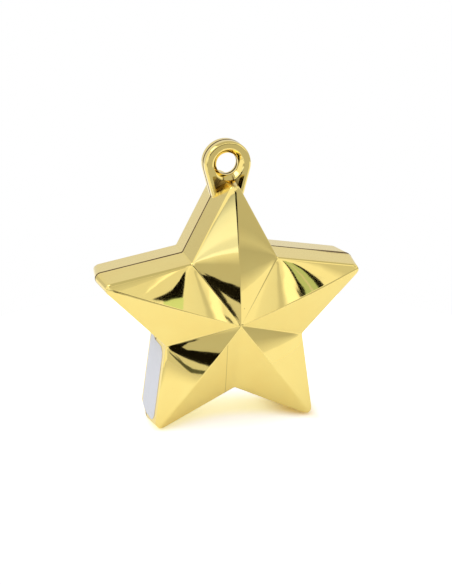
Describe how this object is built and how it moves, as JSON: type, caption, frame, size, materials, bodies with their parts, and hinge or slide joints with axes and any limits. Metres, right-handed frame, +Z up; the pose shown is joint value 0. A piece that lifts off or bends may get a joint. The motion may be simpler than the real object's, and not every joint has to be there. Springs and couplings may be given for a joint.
{
  "type": "balloon weight",
  "caption": "Free-standing star-shaped balloon weight: a glued pair of faceted gold plastic half shells around a heavy filling, with a tie lug on its top arm.",
  "frame": {"origin": "middle of the footprint, on the surface that the star stands on", "axes": "+Z up, from the feet to the tie lug; +X across the star's width; the front face looks along -Y"},
  "size_m": [0.0852, 0.037, 0.0915],
  "materials": {
    "gold_shell": "polystyrene, vacuum metallised and lacquered to a mirror gold",
    "cement_fill": "set cement",
    "glue": "dried adhesive",
    "label_paper": "coated white sticker paper, bare"
  },
  "bodies": {
    "root": {"front_shell": "gold_shell", "rear_shell": "gold_shell", "front_ballast": "cement_fill", "rear_ballast": "cement_fill", "seam_adhesive": "glue", "label": "label_paper"}
  },
  "joints": []
}
